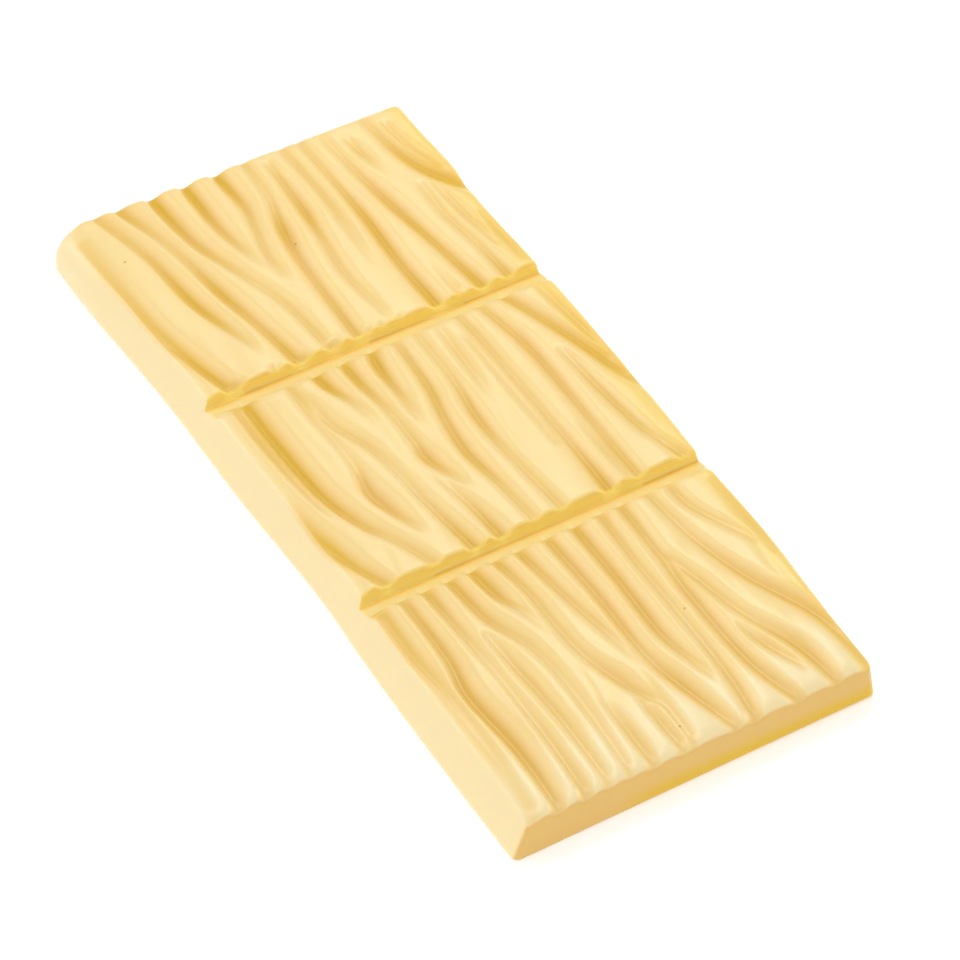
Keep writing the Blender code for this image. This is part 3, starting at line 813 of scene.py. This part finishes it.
CREST_CREAM = linear("#FCDE9D")
# painted light: the left wall faces the strongest lamps and is paler
LEFT_WALL_PAINTED_LIGHT = linear("#FDE3AE")
# painted shade: yellower along the right rim, away from the left light
RIGHT_RIM_PAINTED_SHADE = linear("#FAD981")
# painted shade down the furrows, yellow and tan
FURROW_PAINTED_SHADE_YELLOW = linear("#E6BA3E")
FURROW_PAINTED_SHADE_TAN = linear("#EEC56D")
# painted shade: a slightly deeper yellow on the ramps low in the break grooves
RAMP_PAINTED_SHADE = linear("#FADB8E")
# painted shade: gold on the steep break walls, which face away from the light
BREAK_WALL_PAINTED_SHADE = linear("#FFDB6A")
# painted shade in the crease at the foot of each break wall
BREAK_FOOT_PAINTED_SHADE = linear("#FAC650")
# painted highlight: paler cream on the crest tops near the near end
NEAR_TIP_PAINTED_HIGHLIGHT = linear("#FDE5B2")
# painted shade: tan on the steep faces toward the near end
END_WALL_PAINTED_SHADE = linear("#EEC46E")
# painted reflected light: a gold strip where the near wall meets the table
FOOT_PAINTED_REFLECTION = linear("#EEC434")
SPECK_BROWN = linear("#B98F48")
print("crest cream, linear:", [round(part, 3) for part in CREST_CREAM])

# %% Gloss and depth
GLOSS_ROUGHNESS = 0.33
COCOA_BUTTER_IOR = 1.46
LIGHT_ENTERING = 0.5
LIGHT_REACH = 0.6 * MM
REACH_BY_COLOUR = (1.0, 0.6, 0.2)

chocolate = bpy.data.materials.new("white_chocolate_moulded")
chocolate.use_nodes = True
finish = chocolate.node_tree
shader = finish.nodes["Principled BSDF"]
shader.inputs["IOR"].default_value = COCOA_BUTTER_IOR
shader.inputs["Roughness"].default_value = GLOSS_ROUGHNESS
shader.inputs["Subsurface Weight"].default_value = LIGHT_ENTERING
shader.inputs["Subsurface Radius"].default_value = REACH_BY_COLOUR
shader.inputs["Subsurface Scale"].default_value = LIGHT_REACH
print("light reaches into it, mm:", LIGHT_REACH / MM)

# %% What the material can look up
CLOUD_SIZE = 14 * MM
coordinates = finish.nodes.new("ShaderNodeTexCoord").outputs
facing = add(finish, "ShaderNodeSeparateXYZ", [coordinates["Normal"]]).node.outputs
place = add(finish, "ShaderNodeSeparateXYZ", [coordinates["Object"]]).node.outputs
cloud = add(finish, "ShaderNodeTexNoise", {
    "Vector": coordinates["Object"], "Scale": 1 / CLOUD_SIZE, "Detail": 1.0})
stored = {
    name: add(finish, "ShaderNodeAttribute", attribute_name=name).node.outputs["Fac"]
    for name in ("furrow", "groove", "rising", "break_wall", "inside")}
print("looked up:", ", ".join(stored))

# %% [markdown]
# ## Shares
#
# A Map Range node turns a value into a share: 0 where the share starts and 1 where it is
# full, with an S curve between so that no layer has a hard edge. A share may run
# backwards, such as the one for steepness, which is full where the surface faces least
# upwards.

# %% Shares: what is looked up, where the share starts and where it is full
SHARES = {
    "on top": (stored["rising"], 0.95, 1.0),
    "on a ramp": (stored["groove"], 0.82, 0.95),
    "low in a break": (stored["groove"], 0.3, 0.8),
    "at the foot of a break": (stored["groove"], 1.5, 2.1),
    "on a break wall": (stored["break_wall"], 0.0, 0.7),
    "inside a block": (stored["inside"], 2.0, 11.0),
    "cloudy": (cloud, *USUAL_NOISE),
    "near block": (place["X"], 15 * MM, 45 * MM),
    "near tips": (place["X"], 48 * MM, 55 * MM),
    "on a crest": (stored["furrow"], 0.4, 0.05),
    "right rim": (place["Y"], 22.5 * MM, 25.5 * MM),
    "right of the near left corner": (place["Y"], -14 * MM, -4 * MM),
    "close to the floor": (place["Z"], 3.0 * MM, 0.9 * MM),
    "facing left": (facing["Y"], -0.35, -0.75),
    "facing the near end": (facing["X"], 0.3, 0.75),
    "steep": (facing["Z"], 0.8, 0.35),
    "furrow side": (facing["Z"], 0.98, 0.88),
}
share = {
    name: add(finish, "ShaderNodeMapRange", {
        "Value": value, "From Min": start, "From Max": full}, interpolation_type="SMOOTHSTEP")
    for name, (value, start, full) in SHARES.items()}
print("shares:", len(share))

# %% [markdown]
# ## Painted shade in the furrows
#
# The furrows' shade is painted into their colour. The deeper the furrow, the more yellow
# its painted shade, but only down its middle: the sides are lit from across and look
# paler. So the depth is lessened on the sides before it is turned into a share. The painted
# yellow turns to tan in cloudy noise patches inside a block, and over most of the near block.

# %% The furrow's share and its painted shade colour
PALER_SIDES = -0.2
FAINTEST, DEEPEST = 0.05, 1.2
NEAR_TAN = 0.6

tinted_depth = add(finish, "ShaderNodeMath", [
    share["furrow side"], PALER_SIDES, stored["furrow"]], operation="MULTIPLY_ADD")
share["in a furrow"] = add(finish, "ShaderNodeMapRange", {
    "Value": tinted_depth, "From Min": FAINTEST, "From Max": DEEPEST})
cloudy_inside = add(finish, "ShaderNodeMath", [
    share["cloudy"], share["inside a block"]], operation="MULTIPLY")
near_tan = add(finish, "ShaderNodeMath", [share["near block"], NEAR_TAN], operation="MULTIPLY")
tan_share = add(finish, "ShaderNodeMath", [cloudy_inside, near_tan], operation="MAXIMUM")
furrow_painted_shade = add(finish, "ShaderNodeMix", {
    "Factor": tan_share, 6: FURROW_PAINTED_SHADE_YELLOW, 7: FURROW_PAINTED_SHADE_TAN}, data_type="RGBA").node.outputs[2]
print("furrows are tinted from", FAINTEST, "to", DEEPEST, "mm deep")

# %% [markdown]
# ## Specks
#
# A few tiny air holes opened where bubbles met the mould. They are much smaller than the
# grid's faces, so they are dots in the material, each round a place on the bar.

# %% Specks: along and across from the bar's middle, and radius, in mm
SPECKS = (
    (-49.8, -21.3, 0.26),
    (-42.1, 0.6, 0.24),
    (40.8, 10.5, 0.22),
    (56.6, -0.1, 0.24),
)

plan_place = add(finish, "ShaderNodeCombineXYZ", [place["X"], place["Y"], 0.0])
share["in a speck"] = 0.0
for speck_along, speck_across, speck_radius in SPECKS:
    speck_middle = (speck_along * MM, speck_across * MM, 0.0)
    from_speck = add(finish, "ShaderNodeVectorMath", [
        plan_place, speck_middle], operation="DISTANCE").node.outputs["Value"]
    dot = add(finish, "ShaderNodeMapRange", {
        "Value": from_speck, "From Min": speck_radius * MM, "From Max": 0.0})
    share["in a speck"] = add(finish, "ShaderNodeMath", [
        share["in a speck"], dot], operation="MAXIMUM")
print("specks:", len(SPECKS))

# %% [markdown]
# ## Layers
#
# Each layer is mixed over the ones before it, so the order matters: the bar starts cream
# all over, the furrows get their painted shade next, and the painted shade of the break
# lines goes over them. A layer with several shares covers only where all of them do.

# %% Lay the colours on
LAYERS = (
    # painted shade along the right rim
    (RIGHT_RIM_PAINTED_SHADE, ("right rim",)),
    # painted light on the left wall
    (LEFT_WALL_PAINTED_LIGHT, ("facing left",)),
    # painted shade down the furrows
    (furrow_painted_shade, ("in a furrow",)),
    # painted highlight on the crest tips of the near end
    (NEAR_TIP_PAINTED_HIGHLIGHT, ("near tips", "on a crest", "on top")),
    # painted shade on the ramps
    (RAMP_PAINTED_SHADE, ("on a ramp", "on top")),
    # painted shade at the foot of each break wall
    (BREAK_FOOT_PAINTED_SHADE, ("at the foot of a break", "on top")),
    # painted shade on the break walls
    (BREAK_WALL_PAINTED_SHADE, ("on a break wall", "on top")),
    # painted shade on the steep near end
    (END_WALL_PAINTED_SHADE, ("steep", "facing the near end")),
    # painted reflected light along the foot of the near end
    (FOOT_PAINTED_REFLECTION, (
        "steep", "facing the near end", "close to the floor", "right of the near left corner")),
    # painted shade on the steep faces low in the breaks
    (BREAK_WALL_PAINTED_SHADE, ("steep", "facing the near end", "low in a break", "on top")),
    (SPECK_BROWN, ("in a speck",)),
)
colour = CREST_CREAM
for layer_colour, names in LAYERS:
    cover = 1.0
    for name in names:
        cover = add(finish, "ShaderNodeMath", [cover, share[name]], operation="MULTIPLY")
    colour = add(finish, "ShaderNodeMix", {
        "Factor": cover, 6: colour, 7: layer_colour}, data_type="RGBA").node.outputs[2]
finish.links.new(colour, shader.inputs["Base Color"])
print("material:", chocolate.name, "layers:", len(LAYERS))

# %% [markdown]
# ## Mould the bar
#
# The modifier's inputs are set by each socket's identifier, and the evaluated result is
# kept as a plain mesh. The bar is then moved from the maker's table into the frame, so
# that its box is the packed solid's box.

# %% Give the modifier its inputs
blank_bar = bpy.data.objects.new("blank_bar", bar_mesh)
bpy.context.scene.collection.objects.link(blank_bar)
moulding = blank_bar.modifiers.new("moulding", "NODES")
moulding.node_group = tree
settings = {name: setting for name, (_, setting) in INPUTS.items()}
settings["Material"] = chocolate
for socket in tree.interface.items_tree:
    if socket.in_out == "INPUT" and settings[socket.name] is not None:
        moulding[socket.identifier] = settings[socket.name]
print("inputs set:", len(moulding.keys()))

# %% Keep the result as a plain mesh
evaluated = blank_bar.evaluated_get(bpy.context.evaluated_depsgraph_get())
moulded_mesh = bpy.data.meshes.new_from_object(evaluated)
moulded_mesh.name = "white_chocolate_bar"
for helper in (blank_bar, furrow_lines):
    bpy.data.objects.remove(helper, do_unlink=True)
print("triangles:", sum(len(face.vertices) - 2 for face in moulded_mesh.polygons))

# %% Move the bar into the frame
corners = np.array([vert.co for vert in moulded_mesh.vertices])
middle = (corners.min(axis=0) + corners.max(axis=0)) / 2
frame_middle = (low + high) / 2
move = (frame_middle[0] - middle[0], frame_middle[1] - middle[1], 0.0)
moulded_mesh.transform(Matrix.Scale(MM, 4) @ Matrix.Translation(move))
bar = bpy.data.objects.new("white_chocolate_bar", moulded_mesh)
bpy.context.scene.collection.objects.link(bar)
print("moulded bar, mm:", np.ptp(corners, axis=0).round(2), "middle:", middle.round(3))

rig.ride(bar, "root")
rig.replaces(bar, "bar")
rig.slot(bar, "white_chocolate")

# %% [markdown]
# ## Camera
#
# A long lens, from over half a metre away, keeps the bar's long sides nearly parallel, as
# in a catalogue picture. It looks down across the near left corner, so that the wide left
# wall and the near end both show. Its direction is kept as two angles and a distance,
# which are easier to turn than nine numbers of a matrix.

# %% Camera
CAMERA_AZIMUTH = math.radians(59.52)
CAMERA_ELEVATION = math.radians(46.89)
CAMERA_DISTANCE = 604.3
CAMERA_AIM = Vector((3.16, 2.92, -0.91))
LENS_MM = 173.5
SENSOR_MM = 36.0
CLIP_START = 10 * MM

sine, cosine = math.sin(CAMERA_AZIMUTH), math.cos(CAMERA_AZIMUTH)
level_share = math.cos(CAMERA_ELEVATION)
back = Vector((sine * level_share, -cosine * level_share, math.sin(CAMERA_ELEVATION)))
right = Vector((cosine, sine, 0))
turn = Matrix((right, back.cross(right), back)).transposed().to_4x4()
camera_data = bpy.data.cameras.new("camera")
camera_data.lens = LENS_MM
camera_data.sensor_width = SENSOR_MM
camera_data.clip_start = CLIP_START
camera = bpy.data.objects.new("camera", camera_data)
camera.matrix_world = Matrix.Translation((CAMERA_AIM + back * CAMERA_DISTANCE) * MM) @ turn
bpy.context.scene.collection.objects.link(camera)
bpy.context.scene.camera = camera
print("camera at, mm:", [round(value) for value in camera.matrix_world.translation / MM])

# %% [markdown]
# ## Light
#
# Pale food on white is lit from all round, and mostly from above, so that nothing is
# darker than the furrows. Wide suns stand in for soft boxes far off, and light all three
# blocks alike. One big lamp hangs close overhead. Two small bright ones are placed so that
# the level crests mirror them towards the camera, and they give the satin gleam along the
# tops of the near and far blocks.
#
# A lamp's weight is the share of full white that it gives a white card facing it, which
# makes suns and area lamps easy to compare.

# %% Places and weights of the lamps
SOFTBOX_SPREAD = math.radians(25)
# azimuth from the near end and elevation, in degrees, then weight
SOFTBOXES = (
    (270, 15, 0.16),
    (225, 15, 0.14),
    (225, 40, 0.075),
    (0, 30, 0.16),
    (45, 15, 0.05),
    (90, 15, 0.18),
)
NEAR_BLOCK = Vector((40, 0, 6)) * MM
FAR_BLOCK = Vector((-37, 0, 6)) * MM
# what it lights, azimuth, elevation, distance and side in metres, then weight
HANGING_LAMPS = {
    "overhead_softbox": (NEAR_BLOCK, 180, 88, 0.7, 0.28, 0.27),
    "near_crest_lamp": (NEAR_BLOCK, 145, 55, 0.4, 0.07, 0.15),
    "far_crest_lamp": (FAR_BLOCK, 150, 47, 0.3, 0.06, 0.06),
}
print("lamps:", len(SOFTBOXES) + len(HANGING_LAMPS))

# %% Hang the lamps
def place_lamp(data, target, azimuth, elevation, distance):
    """Put a lamp at an angle round the bar and above the floor, facing its target."""
    a, e = math.radians(azimuth), math.radians(elevation)
    towards = Vector((math.cos(a) * math.cos(e), math.sin(a) * math.cos(e), math.sin(e)))
    lamp = bpy.data.objects.new(data.name, data)
    lamp.location = target + towards * distance
    lamp.rotation_euler = towards.to_track_quat("Z", "Y").to_euler()
    bpy.context.scene.collection.objects.link(lamp)


for azimuth, elevation, weight in SOFTBOXES:
    sun = bpy.data.lights.new("softbox", "SUN")
    sun.angle = SOFTBOX_SPREAD
    sun.energy = weight * math.pi
    place_lamp(sun, Vector(), azimuth, elevation, 1.0)
for name, (target, azimuth, elevation, distance, side, weight) in HANGING_LAMPS.items():
    panel = bpy.data.lights.new(name, "AREA")
    panel.size = side
    panel.energy = weight * (math.pi * distance) ** 2
    place_lamp(panel, target, azimuth, elevation, distance)
print("in the scene:", ", ".join(lamp.name for lamp in bpy.context.scene.objects
                                if lamp.type == "LIGHT"))

# %% Surroundings
AMBIENT = 0.34
STUDIO_WHITE = linear("#FFFFFF")

world = bpy.data.worlds.new("studio")
world.use_nodes = True
sky = world.node_tree.nodes["Background"].inputs
sky["Color"].default_value = STUDIO_WHITE
sky["Strength"].default_value = AMBIENT
bpy.context.scene.world = world
bpy.context.scene.view_settings.view_transform = "Standard"
print("ambient light:", AMBIENT)

# %% [markdown]
# ## Floor
#
# The bar lies on a white table lit from below, as in a catalogue picture, where it casts
# almost no shadow. A little emission stands in for the light under the table.

# %% Floor
FLOOR_HALF_SIDE = 2.0
FLOOR_WHITE = linear("#FAFAFA")
FLOOR_GLOW = 0.2
FLOOR_ROUGHNESS = 0.8

floor_material = bpy.data.materials.new("white_table")
floor_material.use_nodes = True
table = floor_material.node_tree.nodes["Principled BSDF"].inputs
table["Base Color"].default_value = FLOOR_WHITE
table["Roughness"].default_value = FLOOR_ROUGHNESS
table["Emission Color"].default_value = STUDIO_WHITE
table["Emission Strength"].default_value = FLOOR_GLOW
print("material:", floor_material.name)

# %% A wide flat floor
floor_grid = bmesh.new()
bmesh.ops.create_grid(floor_grid, x_segments=1, y_segments=1, size=FLOOR_HALF_SIDE)
floor_mesh = bpy.data.meshes.new("floor")
floor_grid.to_mesh(floor_mesh)
floor_grid.free()
floor_mesh.materials.append(floor_material)
floor = bpy.data.objects.new("floor", floor_mesh)
bpy.context.scene.collection.objects.link(floor)
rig.stage(floor)
print("floor side, m:", 2 * FLOOR_HALF_SIDE)

# %% [markdown]
# ## Sizes
#
# The moulded bar has to keep the packed solid's size. So the packed box and the new box
# are written side by side, in metres.

# %% Write both boxes
def plain(box):
    """A box as lists of plain numbers."""
    return [[float(value) for value in corner] for corner in box]


new_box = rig.bounds()
with open("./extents.json", "w") as report:
    json.dump([plain(cad_box), plain(new_box)], report)
print("packed box:", plain(cad_box), "new box:", plain(new_box))
